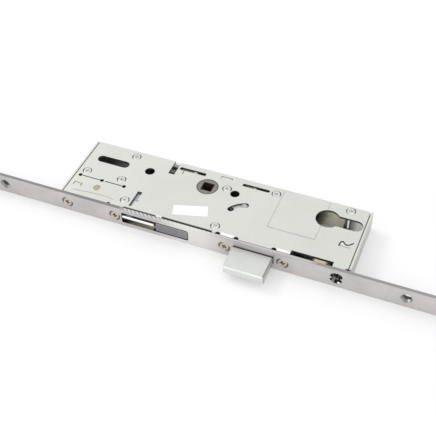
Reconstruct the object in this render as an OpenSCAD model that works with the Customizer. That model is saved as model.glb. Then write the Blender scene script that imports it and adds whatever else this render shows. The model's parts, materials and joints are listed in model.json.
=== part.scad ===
// Centre section of a multipoint door lock, lying on the back of its case.
// X runs along the faceplate towards the lower end, Y from the faceplate into the door, Z out of the cover.
// The origin is the spindle axis at the middle of the case's thickness. Millimetres.

/* [Faceplate] */
// Width of the faceplate
face_w = 16; // [16:1:20]
// Thickness of the faceplate
face_t = 2.5; // [2:0.25:3]
// From the spindle axis to the faceplate's upper end
face_up = 215; // [213:1:260]
// From the spindle axis to the faceplate's lower end
face_down = 245; // [240:1:290]
// From the spindle axis to the upper fixing hole
fixing_up = 147.5; // [125:0.5:155]
// From the spindle axis to the lower fixing hole
fixing_down = 159.7; // [140:0.1:170]
// Diameter of the two fixing holes
fixing_d = 5.2; // [4.2:0.2:5.6]
// Diameter of the countersunk screw heads
head_d = 8.1; // [7.5:0.1:9]

/* [Case] */
// From the faceplate's front to the spindle axis
backset = 45; // [44:1:50]
// From the spindle axis to the case's upper end
case_up = 100; // [99:1:108]
// From the spindle axis to the case's lower end
case_down = 120.4; // [120:0.1:126]
// From the spindle axis to the case's rear face
case_rear = 17.5; // [17:0.5:24]
// Thickness of the case over both sheets
case_t = 16; // [16:0.5:18]
// Thickness of the tray and of the cover
sheet_t = 1.5; // [1.2:0.1:1.6]
// Gap between the cover and the end walls of the tray
wall_gap = 0.4; // [0.2:0.1:0.8]
// Diameter of the cover screw heads
cover_head_d = 6.6; // [6:0.1:7]
// Diameter of the pillars between tray and cover
pillar_d = 6; // [5:0.2:6]

/* [Spindle and cylinder] */
// Side of the square hole for the spindle
square = 8.1; // [8:0.1:8.4]
// Diameter of the follower where it turns in both sheets
hub_d = 16.3; // [15:0.1:16.6]
// From the spindle axis to the cylinder's plug axis
centres = 92; // [91:0.5:93]
// Diameter of the round part of the cylinder hole
plug_d = 17.5; // [17.2:0.1:17.8]
// Width of the narrow part of the cylinder hole
euro_w = 10.5; // [10.2:0.1:10.8]
// Length of the whole cylinder hole
euro_len = 34.2; // [33:0.1:34.6]
// From the plug axis to the cylinder's fixing screw
cyl_screw_x = 19.8; // [19:0.1:20.4]
// Diameter of the upper handle screw hole
handle_d1 = 7.5; // [6:0.1:8]
// Diameter of the lower handle screw hole
handle_d2 = 7; // [6:0.1:7.4]

/* [Latch] */
// Width of the latch along the faceplate
latch_w = 25.4; // [24:0.2:26]
// From the spindle axis to the middle of the latch
latch_x = -9.6; // [-10.2:0.1:-9]
// How far the latch springs out
latch_throw = 12; // [8:0.5:13]
// Length of the latch body
latch_len = 19; // [18.5:0.5:19]
// Thickness of the latch
latch_t = 8.7; // [8:0.1:9.2]
// Diameter of the trigger bar beside the latch
trigger_d = 2.8; // [2.4:0.1:3.2]
// How far the trigger bar is pressed in
trigger_throw = 3.5; // [2:0.5:3.5]

/* [Deadbolt] */
// Width of the deadbolt along the faceplate
bolt_w = 29.4; // [28:0.1:30]
// From the spindle axis to the middle of the deadbolt
bolt_x = 52.3; // [51.8:0.05:52.6]
// Thickness of the deadbolt
bolt_t = 6.6; // [6:0.1:8]
// How far the deadbolt is thrown
bolt_throw = 20.5; // [18:0.5:20.5]
// How far the deadbolt's lever swings, in degrees
lever_swing = 42; // [38:1:46]
// Thickness of the deadbolt's tail plate
tail_t = 3; // [2:0.25:3.25]
// Radius of the rounded edges of the deadbolt
bolt_round = 1.5; // [0.8:0.1:2]

/* [Drive] */
// Tooth module of the sector and the rack
tooth_m = 2; // [2:1:2]
// Teeth of the sector, counted on its whole circle
tooth_z = 20; // [20:1:20]
// How far the handle turns the follower, in degrees
handle_turn = 44; // [30:1:44]
// Thickness of the drive slide and the lever
slide_t = 1.35; // [1.1:0.05:1.4]
// Height of the drive rods across the faceplate
rod_w = 9; // [8:0.5:9.4]
// Thickness of the drive rods
rod_t = 2.5; // [2:0.1:2.5]
// From the spindle axis to the upper roller
roller_up = 190; // [188:1:192]
// From the spindle axis to the lower roller
roller_down = 215; // [214:1:222]
// Diameter of the rollers over their flange
roller_d = 14; // [12.6:0.2:15]
// Length of the rollers
roller_len = 8; // [6:0.5:10]

/* [Springs] */
// Wire of the two follower springs
wire = 0.9; // [0.7:0.05:0.95]
// Wire of the latch spring and the trigger spring
thin_wire = 0.8; // [0.5:0.05:0.8]

/* [Hidden] */

// Clearances: sliding faces, layers of the mechanism, and shafts in their holes
slip = 0.1;
layer = 0.2;
fit = 0.05;
window_gap = 0.3;
eps = 0.01;
cut = 1;

// Planes of the case
front = -backset;
behind = front + face_t;
outer = case_t / 2;
inner = outer - sheet_t;
rear_in = case_rear - sheet_t;
cover_x0 = -case_up + sheet_t + wall_gap;
cover_x1 = case_down - sheet_t - wall_gap;
cover_y0 = behind + slip;
corner_r = 2;
top = -case_up;

// Layers: slide on the base, bolts in the middle, lever under the cover
slide_z0 = -inner + 0.15;
slide_z1 = slide_z0 + slide_t;
bolt_z = bolt_t / 2;
latch_z = latch_t / 2;
lever_z1 = inner - layer - 0.05;
lever_z0 = lever_z1 - slide_t + 0.05;

// Cover screws and pillars: the fourth screw bites in a fixing block
screw_spots = [[top + 36.8, case_rear - 6], [top + 8.6, front + 28.9], [top + 37.2, front + 29.3],
    [-50.8, front + 10.2], [14.3, 3.1], [20.4, front + 9.4], [49.8, case_rear - 6.5],
    [case_down - 15.3, case_rear - 4.1]];
block_spot = 3;
shank_r = 1.5;
thread_r = 1.6;
head_t = 0.95;
dish_t = 1;
spigot_r = 2;

// Faceplate screws and the blocks behind them
case_screws = [top + 6.4, -54.6, 30.9, 73.7];
face_shank_r = 1.9;
face_screw_len = 11;
block_x = [[top + 2.6, top + 8.6], [-58.4, -48], [27.2, 36.5], [70.6, 77.6]];
block_rear = behind + 10.8;

// Handle holes and the open slot at the upper end
handle_x1 = -46.8;
handle_x2 = 21.6;
oblong = [top + 13.1, top + 32.3];
oblong_w = 7;

// Cylinder hole: the slot ends in a half circle
plug_r = plug_d / 2;
euro_r = euro_w / 2;
euro_end = centres + euro_len - plug_r - euro_r;
collar_t = 1.3;
collar_len = 5;
cyl_screw = centres + cyl_screw_x;
star_arms = 6;
star_r = 4.7;
star_w = 2.2;
disc = [top + 24.4, front + 14.1];

// Rods and the travel that the sector gives them
pitch_r = tooth_m * tooth_z / 2;
tooth_p = PI * tooth_m;
travel = pitch_r * handle_turn * PI / 180;
rod_y0 = behind + slip + fit;
rod_y1 = rod_y0 + rod_t;
rod_z = rod_w / 2;
upper_join = [block_x[1][0] - 15.2, block_x[1][0] - 7.6];
lower_join = [93.5, 104];
join_head = 2.6;
join_neck = 2.8;
rod_end_up = -face_up + 2;
rod_end_down = face_down - 2;
rod_lap = 12;
lap_hole_r = 2;

// Band of the drive slide, and its teeth
band_y0 = behind + 11.5;
band_y1 = -20.5 - tooth_m;
rack_x = [-14, 29];
rack_rivets = [-9, 7.5, 24];
rack_y0 = -pitch_r - 1.25 * tooth_m - 3.1;
rack_y1 = -pitch_r + tooth_m;
rack_z1 = slide_z1 + 1.95;
backlash = 0.16;
sector_first = -1;
sector_last = 3;
tooth_step = 360 / tooth_z;
base_r = pitch_r * cos(20);
tip_r = pitch_r + tooth_m;
root_r = pitch_r - 1.25 * tooth_m;
roll_20 = (tan(20) - 20 * PI / 180) * 180 / PI;
half_tooth = tooth_step / 4 - backlash / 4 / pitch_r * 180 / PI;
sector_z0 = slide_z1 + layer;
sector_z1 = rack_z1 - slip;

// Follower springs along the rear of the case
hub_r = hub_d / 2;
spring_y = 11.2;
spring_z = 2.9;
coil_r = 2.7;
lug_x = 3.2;
lug_y = 13.6;
lug_z = [0.5, 5.4];
tab_x = [-28.4, -27.2];
thrust_gap = 0.4;
thrust_nose = 2.4;
thrust_flange = 16.8;
thrust_rod_r = 1.5;
thrust_pin_r = 1.7;
thrust_pin_len = 12;
flange_t = 1.4;
return_end = 46.6;

// Latch: nose, tail rod, spring and the bracket that carries the tail
latch_x0 = latch_x - latch_w / 2;
latch_x1 = latch_x + latch_w / 2;
latch_rear = front + latch_len;
tail_x = -19.4;
latch_tail_r = 1.9;
hook_y = [0.3, 1.5];
hook_x1 = -12;
hook_z = [-2.9, 1.9];
arm_angle = 230;
arm_len = -tail_x - latch_tail_r - 0.5;
arm_half = 1.5;
thin_r = 2.45;
bracket_y = [-13.4, -11.9];
bracket_x = [-27.5, -16.6];
bracket_foot = 4.6;
bracket_z0 = -2.6;
guide_rear = behind + 9.4;
guide_wall = 3.5;

// Trigger bar, its slide and its stop
trigger_r = trigger_d / 2;
window_x0 = -49.1;
trigger_x = [window_x0 + 0.3, -23.4];
trigger_y = front + trigger_r + 0.2;
trigger_plate = [-46.8, -41.4];
riser_y = [trigger_y + trigger_r, behind + 8.4];
trigger_spring_x = -44.4;
trigger_stop_y = riser_y[1] + 13;
stop_t = 1.2;
window_r = 1.2;

// Deadbolt, its tail and its lever
bolt_x0 = bolt_x - bolt_w / 2;
bolt_x1 = bolt_x + bolt_w / 2;
bolt_rear = behind + 11.5;
tail_z0 = bolt_z - tail_t;
tail_front = bolt_rear - 10;
tail_rivet_x = [46, 56];
wing_x = [54.7, centres - plug_r - 1.25];
wing_rear = rear_in - bolt_throw - 0.5;
cam_r = 15;
cam_slot = 7.5;
pivot = [37.5, front + 22.3];
pivot_r = 2.5;
arm_r = bolt_throw / 2 / sin(lever_swing / 2);
show_r = 14.8;
show_a = 110.5;
slot_a0 = show_a - 4.2;
lobe_a = 30;
pin_r = 2;
pin_play = 0.3;
drive_pin = [pivot[0] + arm_r * cos(lever_swing / 2), pivot[1] - arm_r * sin(lever_swing / 2)];
show_pin = [pivot[0] + show_r * cos(show_a), pivot[1] + show_r * sin(show_a)];

$fn = 64;

// Box between two opposite corners
module block(a, b) translate(a) cube(b - a);

// Round bar along Y, from y0 to y1
module rod_along_y(x, z, r, y0, y1) translate([x, y0, z]) rotate([-90, 0, 0]) cylinder(h = y1 - y0,
    r = r);

// Round bar along Z
module post(at, r, z0, z1) translate([at[0], at[1], z0]) cylinder(h = z1 - z0, r = r);

// Slot with round ends along X, seen from above
module slot2d(x0, x1, y, w) {
    translate([x0, y - w / 2]) square([x1 - x0, w]);
    translate([x0, y]) circle(d = w);
    translate([x1, y]) circle(d = w);
}

// Narrow cut that follows a list of points
module slit2d(points, w) {
    for (i = [0 : len(points) - 2]) {
        d = points[i + 1] - points[i];
        translate(points[i]) rotate(atan2(d[1], d[0])) translate([0, -w / 2]) square([norm(d), w]);
    }
    for (p = points) translate(p) circle(d = w + 0.08, $fn = 24);
}

// Arm between two round ends, without a hull
module link2d(p, q, rp, rq) {
    d = q - p;
    a = atan2(d[1], d[0]);
    b = acos((rp - rq) / norm(d));
    translate(p) circle(r = rp);
    translate(q) circle(r = rq);
    polygon([
        p + rp * [cos(a + b), sin(a + b)], p + rp * [cos(a - b), sin(a - b)],
        q + rq * [cos(a - b), sin(a - b)], q + rq * [cos(a + b), sin(a + b)]]);
}

// Rectangle with all four corners round
module round_rect(x0, x1, y0, y1, r) {
    translate([x0 + r, y0]) square([x1 - x0 - 2 * r, y1 - y0]);
    translate([x0, y0 + r]) square([x1 - x0, y1 - y0 - 2 * r]);
    for (x = [x0 + r, x1 - r], y = [y0 + r, y1 - r]) translate([x, y]) circle(r = r, $fn = 32);
}

// Cylinder hole seen from above, grown by g
module euro2d(g = 0) {
    translate([centres, 0]) circle(r = plug_r + g, $fn = 96);
    translate([centres, -euro_r - g]) square([euro_end - centres, euro_w + 2 * g]);
    translate([euro_end, 0]) circle(r = euro_r + g);
}

// Cross of two narrow bars for a driver
module cross_recess(size, w, depth) {
    for (a = [0, 90]) rotate(a) translate([-size / 2, -w / 2, -depth]) cube([size, w, depth + cut]);
}

// Points of a round wire: straight for one wire at each end, a helix between
function coil_path(r, w, length, turns) = concat(
    [[r, 0, 0]],
    [for (i = [0 : turns * 8]) [r * cos(i * 45), r * sin(i * 45),
        1.2 * w + (length - 2.4 * w) * i / (turns * 8)]],
    [[r * cos(turns * 360), r * sin(turns * 360), length]]);

function unit(v) = v / norm(v);

function ring_dir(path, i) = i == 0 ? unit(path[1] - path[0])
    : i == len(path) - 1 ? unit(path[i] - path[i - 1])
    : unit(unit(path[i + 1] - path[i]) + unit(path[i] - path[i - 1]));

function least_gap(path, w) = min([for (i = [0 : len(path) - 6], j = [i + 5 : len(path) - 1])
    norm(path[i] - path[j]) - w]);

// Coil spring along +Z as one unbroken tube of six sides
module coil(name, r, w, length, turns) {
    path = coil_path(r, w, length, turns);
    n = len(path);
    echo(str("least gap of ", name, " = ", least_gap(path, w), " mm"));
    points = [for (i = [0 : n - 1]) let(
            t = ring_dir(path, i),
            out = unit([path[i][0], path[i][1], 0]),
            side = unit(cross(t, out)),
            up = cross(side, t))
        for (k = [0 : 5]) path[i] + w / 2 * (cos(k * 60) * up + sin(k * 60) * side)];
    walls = [for (i = [0 : n - 2], k = [0 : 5]) let(a = i * 6 + k, b = i * 6 + (k + 1) % 6)
        each [[a, b, b + 6], [a, b + 6, a + 6]]];
    ends = [for (k = [1 : 4]) each [[0, k + 1, k],
        [(n - 1) * 6, (n - 1) * 6 + k, (n - 1) * 6 + k + 1]]];
    polyhedron(points = points, faces = [for (f = concat(walls, ends)) [f[0], f[2], f[1]]],
        convexity = 10);
}

// Faceplate with its windows, slots and countersunk holes
module countersink(x) {
    rod_along_y(x, 0, fixing_d / 2, front - cut, behind + cut);
    sink(x, head_d / 2 + fit, fixing_d / 2);
}
module sink(x, r0, r1) translate([x, front - eps, 0]) rotate([-90, 0,
    0]) cylinder(h = face_t - 0.5, r1 = r0, r2 = r1);
module face_window(x0, x1, z, r) {
    translate([0, behind + cut, 0]) rotate([90, 0, 0]) linear_extrude(face_t + 2 * cut)
        round_rect(x0, x1, -z, z, r);
}
module star_hole() {
    rod_along_y(cyl_screw, 0, star_w + 0.9, front - cut, behind + cut);
    for (i = [0 : star_arms - 1]) translate([cyl_screw, front - cut, 0]) rotate([0,
        360 / star_arms * i + 30, 0])
        translate([0, 0, -star_w / 2]) cube([star_r, face_t + 2 * cut, star_w]);
}
module faceplate() {
    color("lightgray") difference() {
        block([-face_up, front, -face_w / 2], [face_down, behind, face_w / 2]);
        for (x = [-fixing_up, fixing_down]) countersink(x);
        for (x = case_screws) {
            rod_along_y(x, 0, face_shank_r + 0.2, front - cut, behind + cut);
            sink(x, head_d / 2 + fit, face_shank_r + 0.2);
        }
        face_window(window_x0, latch_x1 + window_gap, latch_z + window_gap, window_r);
        face_window(bolt_x0 - window_gap, bolt_x1 + window_gap, bolt_z + window_gap, 0.6);
        star_hole();
        for (x = [-roller_up, roller_down]) translate([0, behind + cut, 0]) rotate([90, 0, 0])
            linear_extrude(face_t + 2 * cut) slot2d(x - travel - window_gap, x + window_gap, 0, 6.6);
    }
}

// Tray: base, rear wall, two end walls and the stop of the trigger spring
module case_body() {
    color("gainsboro") difference() {
        union() {
            block([-case_up, behind, -outer], [case_down, case_rear, -inner]);
            block([-case_up, rear_in, -outer], [case_down, case_rear, inner]);
            block([-case_up, behind, -outer], [-case_up + sheet_t, case_rear, outer]);
            block([case_down - sheet_t, behind, -outer], [case_down, case_rear, outer]);
            block([trigger_spring_x - 3, trigger_stop_y, -inner], [trigger_spring_x + 3,
                trigger_stop_y + stop_t, 3]);
        }
        translate([0, 0, -outer - cut]) linear_extrude(sheet_t + 2 * cut) {
            euro2d();
            circle(r = hub_r + fit);
            translate([handle_x1, 0]) circle(d = handle_d1);
            translate([handle_x2, 0]) circle(d = handle_d2);
            slot2d(oblong[0], oblong[1], 0, oblong_w);
            for (i = [0 : len(screw_spots) - 1]) if (i != block_spot)
                translate(screw_spots[i]) circle(r = spigot_r + 0.02, $fn = 48);
        }
        for (x = [-case_up, case_down - sheet_t])
            block([x - cut, behind - cut, -rod_z - 0.5], [x + sheet_t + cut, rod_y1 + 0.4, rod_z + 0.5]);
        translate([0, 0, -inner]) linear_extrude(2 * inner) collar2d(slip);
    }
}

// Cover with everything that is stamped in it
module cover_holes() {
    euro2d();
    circle(r = hub_r + fit);
    translate([handle_x1, 0]) circle(d = handle_d1);
    translate([handle_x2, 0]) circle(d = handle_d2);
    slot2d(oblong[0], oblong[1], 0, oblong_w);
    for (p = screw_spots) translate(p) circle(r = shank_r + 0.3, $fn = 48);
}
module spring_windows() {
    slot2d(-25.6, -7.2, spring_y + 0.35, 3);
    slot2d(24.7, 43.3, spring_y + 0.25, 2.7);
    slit2d([[-23.2, spring_y - 1], [-22.8, spring_y - 5]], 0.5);
    slit2d([[5.9, rear_in - 3.4], [5.9, rear_in - 1.4], [14.2, rear_in - 1.6], [14.2,
        rear_in - 2.6]], 0.5);
    translate([-33.2, 3.3]) square([4.8, case_rear]);
}
module arc_slot() {
    difference() {
        translate(pivot) circle(r = show_r + pin_r + 0.2, $fn = 96);
        translate(pivot) circle(r = show_r - pin_r - 0.2, $fn = 96);
        translate(pivot) rotate(slot_a0 - 180) translate([-show_r * 2, 0]) square([show_r * 4,
            show_r * 3]);
        translate(pivot) rotate(show_a + lever_swing) translate([-show_r * 2,
            0]) square([show_r * 4, show_r * 3]);
    }
    for (a = [slot_a0, show_a + lever_swing]) translate(pivot) rotate(a) translate([show_r, 0])
        circle(r = pin_r + 0.3);
}
module upper_cuts() {
    dots = [6.1, 24.2, 42.4];
    for (x = dots) translate([top + x, front + 22.7]) circle(d = 3, $fn = 40);
    translate([top, front]) {
        slit2d([[8.4, 22.7], [23.2, 22.7]], 0.8);
        slit2d([[27, 22.7], [40.2, 22.7]], 0.8);
        slit2d([[5.9, 11.6], [5.7, 14.7], [11.7, 14.4], [12, 11.9]], 0.5);
    }
    translate([-45.5, front + 13.5]) square([3.5, 8.3]);
    translate([-45.5, front + 5.6]) square([2.1, 8]);
    translate([-43.6, front + 11.2]) square([2.4, 2.4]);
    translate(disc) circle(r = 2.9);
}
module front_cuts() {
    for (x = [24.8, 38.5, 66.2]) translate([x, cover_y0 + 0.2]) circle(r = 1.9, $fn = 40);
    translate([top + 39.6, cover_y0]) circle(r = 1.2, $fn = 32);
    translate([lower_join[0] - travel - 0.3,
        cover_y0 - cut]) square([lower_join[1] - lower_join[0] + travel + 4, cut + 4.1]);
    translate([cover_x1 - 1, cover_y0 - cut]) square([cut + 2, cut + 0.9]);
    translate([-48.2, cover_y0 - cut]) square([25.2, cut + 0.5]);
    translate([-18, cover_y0 - cut]) square([38.3, cut + 1]);
}
module wave_cut() {
    translate([case_down, front]) slit2d([[-14, 23], [-13.8, 25.6], [-13.1, 27.2], [-12, 27.3],
        [-10.8, 25.9], [-9.2, 24.9], [-7.4, 25.6], [-5.2, 28]], 1);
}
module press_lines() {
    slit2d([[54.7, rear_in], [54.7, front + 22], [89.4, front + 22], [89.4, rear_in]], 0.4);
    translate([top, front]) slit2d([[8.6, 6.4], [22, 7.9], [37, 8.3], [40.9, 7]], 0.5);
}
module cover_plate() {
    color("silver") difference() {
        union() {
            translate([0, 0, inner]) linear_extrude(sheet_t) difference() {
                union() {
                    translate([cover_x0, cover_y0]) square([cover_x1 - cover_x0, 20]);
                    round_rect(cover_x0, cover_x1, cover_y0, case_rear, corner_r);
                }
                cover_holes();
                spring_windows();
                arc_slot();
                upper_cuts();
                front_cuts();
                wave_cut();
            }
            block([tab_x[0], spring_y - 4, -1], [tab_x[1], rear_in - 0.4, inner + eps]);
        }
        for (p = screw_spots) post(p, cover_head_d / 2 + 0.3, outer - dish_t, outer + cut);
        translate([0, 0, outer - 0.2]) linear_extrude(cut) press_lines();
    }
}

// Brass rivet under the upper end of the cover
module guide_rivet() {
    color("goldenrod") {
        post(disc, 2.85, inner - 0.6, outer - 0.1);
        post(disc, 3.6, inner - 1.5, inner);
    }
}

// Flat heads with a cross, and their shanks in the pillars
module cover_screws() {
    color("whitesmoke") for (p = screw_spots) translate([p[0], p[1], outer - dish_t]) difference() {
        union() {
            cylinder(h = head_t - 0.35, r = cover_head_d / 2);
            translate([0, 0, head_t - 0.35]) cylinder(h = 0.35, r1 = cover_head_d / 2,
                r2 = cover_head_d / 2 - 0.7);
            translate([0, 0, -7]) cylinder(h = 7 + eps, r = shank_r);
        }
        translate([0, 0, head_t]) rotate(p[0] * 7) cross_recess(3.4, 0.8, 0.6);
    }
}

// Pillars riveted in the base, drilled for the cover screws
module case_pillars() {
    color("lightslategray") for (i = [0 : len(screw_spots) - 1]) if (i != block_spot) difference() {
        union() {
            post(screw_spots[i], pillar_d / 2, -inner, inner);
            post(screw_spots[i], spigot_r, -outer, -inner + eps);
        }
        post(screw_spots[i], thread_r, -1, inner + cut);
        block([screw_spots[i][0] - 9, rear_in - 0.1, -inner - cut], [screw_spots[i][0] + 9,
            rear_in + 9, inner + cut]);
    }
}

// Countersunk screws that hold the faceplate to the blocks
module faceplate_screws() {
    color("whitesmoke") for (x = case_screws) translate([x, front, 0]) rotate([-90, 0, 0]) difference() {
        union() {
            cylinder(h = face_t - 0.5, r1 = head_d / 2, r2 = face_shank_r);
            cylinder(h = face_screw_len, r = face_shank_r);
        }
        rotate([180, 0, 0]) rotate(x * 5) cross_recess(4.2, 0.9, 1.3);
    }
}

// Blocks between the sheets: the first sits behind the upper rod
module fixing_blocks() {
    color("slategray") for (i = [0 : len(block_x) - 1]) difference() {
        block([block_x[i][0], i == 0 ? rod_y1 + 0.5 : behind, -inner], [block_x[i][1], block_rear,
            inner]);
        rod_along_y(case_screws[i], 0, face_shank_r + 0.1, behind - cut, block_rear - 1);
        if (i == 1) post(screw_spots[block_spot], thread_r, -1, inner + cut);
        block([trigger_x[0] - 0.4, behind - cut, -trigger_r - 0.4],
            [trigger_x[1], trigger_y + trigger_r + trigger_throw + 0.4, trigger_r + 0.4]);
    }
}

// Lining of the far end of the cylinder hole
module collar2d(g) {
    intersection() {
        translate([euro_end, 0]) circle(r = euro_r + collar_t + g);
        translate([euro_end - 1, -20]) square([20, 40]);
    }
    translate([euro_end - collar_len, -euro_r - collar_t - g]) square([collar_len,
        euro_w + 2 * collar_t + 2 * g]);
}
module cylinder_collar() {
    color("lightgray") difference() {
        translate([0, 0, -inner]) linear_extrude(2 * inner) difference() {
            collar2d(0);
            translate([euro_end, 0]) circle(r = euro_r + 0.05);
            translate([euro_end - collar_len - cut, -euro_r - 0.05]) square([collar_len + cut,
                euro_w + 0.1]);
        }
        rod_along_y(cyl_screw, 0, 2.6, -euro_r - collar_t - cut, -euro_r + cut);
    }
}

// Bridge that guides the latch on both sides and above
module latch_guide() {
    guide_x0 = latch_x0 - window_gap - guide_wall;
    color("silver") block([block_x[1][1] + 0.4, behind, -inner], [guide_x0 + eps, behind + 4.5,
        -trigger_r - 0.6]);
    color("silver") difference() {
        block([guide_x0, behind, -inner], [latch_x1 + window_gap + guide_wall, guide_rear, inner]);
        block([latch_x0 - window_gap, behind - cut, -inner - cut],
            [latch_x1 + window_gap, guide_rear + cut, latch_z + slip]);
        block([guide_x0 - cut, behind - cut, -trigger_r - 0.4],
            [latch_x0, trigger_y + trigger_r + trigger_throw + 0.4, trigger_r + 0.4]);
    }
}

// Bracket with the guide hole of the latch's tail
module spring_bracket() {
    color("silver") difference() {
        union() {
            block([bracket_x[0], bracket_y[0], bracket_z0], [bracket_x[1], bracket_y[1], inner]);
            block([bracket_x[0], bracket_y[0] - 1.5, -inner], [bracket_x[0] + bracket_foot,
                bracket_y[1] + 1.5, bracket_z0 + eps]);
        }
        rod_along_y(tail_x, 0, latch_tail_r + fit, bracket_y[0] - cut, bracket_y[1] + cut);
    }
}

// Latch nose: softened edges, flush with the faceplate
module latch_bolt() {
    soft = 1;
    color("dimgray") difference() {
        intersection() {
            translate([0, 0, -latch_z]) linear_extrude(2 * latch_z) polygon([
                [latch_x0, front + soft], [latch_x0 + soft, front], [latch_x1 - soft, front],
                [latch_x1, front + soft], [latch_x1, latch_rear], [latch_x0, latch_rear]]);
            translate([latch_x0 - cut, 0, 0]) rotate([90, 0,
                90]) linear_extrude(latch_w + 2 * cut) polygon([
                [front, -latch_z + soft], [front + soft / 2, -latch_z], [latch_rear, -latch_z],
                [latch_rear, latch_z], [front + soft / 2, latch_z], [front, latch_z - soft / 2]]);
            translate([0, latch_rear, 0]) rotate([90, 0, 0]) linear_extrude(latch_len)
                round_rect(latch_x0, latch_x1, -latch_z, latch_z, window_r);
        }
        rod_along_y(tail_x, 0, latch_tail_r + 0.02, latch_rear - 5, latch_rear + cut);
    }
}
module latch_tail() {
    color("silver") {
        rod_along_y(tail_x, 0, latch_tail_r, latch_rear - 4.9, hook_y[1]);
        block([tail_x - latch_tail_r, hook_y[0], hook_z[0]], [hook_x1, hook_y[1], hook_z[1]]);
    }
}
module latch_spring() {
    color("darkgray") translate([tail_x, latch_rear + 0.1, 0]) rotate([-90, 0, 0])
        coil("latch_spring", thin_r, thin_wire, bracket_y[0] - latch_rear - 0.2, 8);
}

// Trigger bar: a bright round bar with a ball end, in the open half of the latch window
module trigger_bar() {
    color("white") {
        translate([trigger_x[0], trigger_y, 0]) rotate([0, 90, 0])
            cylinder(h = trigger_x[1] - trigger_r - trigger_x[0], r = trigger_r);
        translate([trigger_x[1] - trigger_r, trigger_y, 0]) sphere(r = trigger_r);
    }
}
module trigger_slide() {
    color("lightsteelblue") {
        block([trigger_plate[0], riser_y[0], -trigger_r], [trigger_plate[1] - 1, riser_y[1], lever_z1]);
        block([trigger_plate[0], riser_y[1] - eps, lever_z0], [trigger_plate[1], riser_y[1] + 13.5,
            lever_z1]);
    }
}
module trigger_spring() {
    color("darkgray") translate([trigger_spring_x, riser_y[1] + 0.1, 0]) rotate([-90, 0, 0])
        coil("trigger_spring", 2.2, thin_wire, trigger_stop_y - riser_y[1] - 0.2, 7);
}

// Involute tooth of the sector, seen from above, its middle on the X axis
function involute(t) = base_r * [cos(t) + t * PI / 180 * sin(t), sin(t) - t * PI / 180 * cos(t)];
function turned(p, a) = [p[0] * cos(a) - p[1] * sin(a), p[0] * sin(a) + p[1] * cos(a)];
module sector_tooth() {
    last = sqrt(pow(tip_r / base_r, 2) - 1) * 180 / PI;
    open = half_tooth + roll_20;
    flank = [for (i = [0 : 6]) turned(involute(last * i / 6), -open)];
    foot = (root_r - 0.5) * [cos(open), -sin(open)];
    polygon(concat([foot], flank, [for (i = [6 : -1 : 0]) [flank[i][0], -flank[i][1]]], [[foot[0],
        -foot[1]]]));
}

// Follower: hub with the square, toothed sector, spring lug and latch arm
module follower_hub() {
    half = tooth_step / 2 + 3;
    color("rosybrown") difference() {
        union() {
            cylinder(h = 2 * outer - 0.2, r = hub_r, center = true, $fn = 96);
            cylinder(h = 2 * inner - 0.2, r = hub_r + 0.4, center = true, $fn = 96);
            translate([0, 0, slide_z0]) cylinder(h = 1.4, r = hub_r + 2.4, $fn = 96);
            translate([0, 0, sector_z0]) rotate(-90 + sector_first * tooth_step - half)
                rotate_extrude(angle = (sector_last - sector_first) * tooth_step + 2 * half, $fn = 96)
                translate([hub_r - 2, 0]) square([root_r - hub_r + 2, sector_z1 - sector_z0]);
            translate([0, 0, sector_z0]) linear_extrude(sector_z1 - sector_z0)
                for (i = [sector_first : sector_last]) rotate(-90 + i * tooth_step) sector_tooth();
            block([-lug_x, 0, lug_z[0]], [lug_x, lug_y, lug_z[1]]);
            rotate(arm_angle) block([0, -arm_half, sector_z1 - eps], [arm_len, arm_half, -0.9]);
        }
        cube([square, square, 4 * outer], center = true);
    }
}

// Springs of the follower, along the rear of the case
module lift_spring() {
    color("darkgray") translate([tab_x[1] + 0.1, spring_y, spring_z]) rotate([0, 90, 0])
        coil("lift_spring", coil_r, wire, -lug_x - 0.3 - tab_x[1], 12);
}
module return_spring() {
    color("darkgray") translate([thrust_flange + flange_t + 0.1, spring_y, spring_z]) rotate([0, 90, 0])
        coil("return_spring", coil_r, wire, return_end - thrust_flange - flange_t - 0.1, 14);
}
module thrust_slide() {
    x0 = lug_x + thrust_gap;
    color("silver") {
        block([x0, spring_y - 2.7, lug_z[0] + 0.3], [x0 + thrust_nose, spring_y + 2.9, lug_z[1] - 0.3]);
        translate([x0 + thrust_nose - eps, spring_y, spring_z]) rotate([0, 90, 0])
            cylinder(h = thrust_flange - x0 - thrust_nose + 2 * eps, r = thrust_rod_r);
        translate([thrust_flange, spring_y, spring_z]) rotate([0, 90, 0]) cylinder(h = flange_t,
            r = coil_r + wire / 2);
        translate([thrust_flange + flange_t - eps, spring_y, spring_z]) rotate([0, 90, 0])
            cylinder(h = thrust_pin_len, r = thrust_pin_r);
    }
}

// Drive slide on the base of the case, with an arm to each connector
module drive_slide() {
    color("darkgray") difference() {
        translate([0, 0, slide_z0]) linear_extrude(slide_t) {
            translate([upper_join[0], band_y0]) square([lower_join[1] - upper_join[0],
                band_y1 - band_y0]);
            translate([rack_x[0], band_y0]) square([rack_x[1] - rack_x[0], rack_y0 + 5.6 - band_y0]);
            translate([upper_join[0], rod_y0]) square([upper_join[1] - upper_join[0], band_y1 - rod_y0]);
            translate([lower_join[0], rod_y0]) square([lower_join[1] - lower_join[0], band_y1 - rod_y0]);
        }
        for (x = rack_rivets) post([x, rack_y0 + 1.6], 1.02, slide_z0 - cut, slide_z1 + cut);
        for (x = [upper_join[0] + 3.8, lower_join[1] - 3.8]) post([x, rod_y0 + 1.4], 0.92,
            slide_z0 - cut, slide_z1 + cut);
    }
}
module drive_rack() {
    color("gray") difference() {
        translate([0, 0, slide_z1]) linear_extrude(rack_z1 - slide_z1) {
            translate([rack_x[0], rack_y0]) square([rack_x[1] - rack_x[0],
                -root_r - 2 * 1.25 * tooth_m - rack_y0]);
            for (k = [-2 : 3]) translate([(k + 0.5) * tooth_p, 0]) rack_tooth();
        }
        for (x = rack_rivets) post([x, rack_y0 + 1.6], 1.02, slide_z1 - cut, rack_z1 + cut);
    }
}
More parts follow.
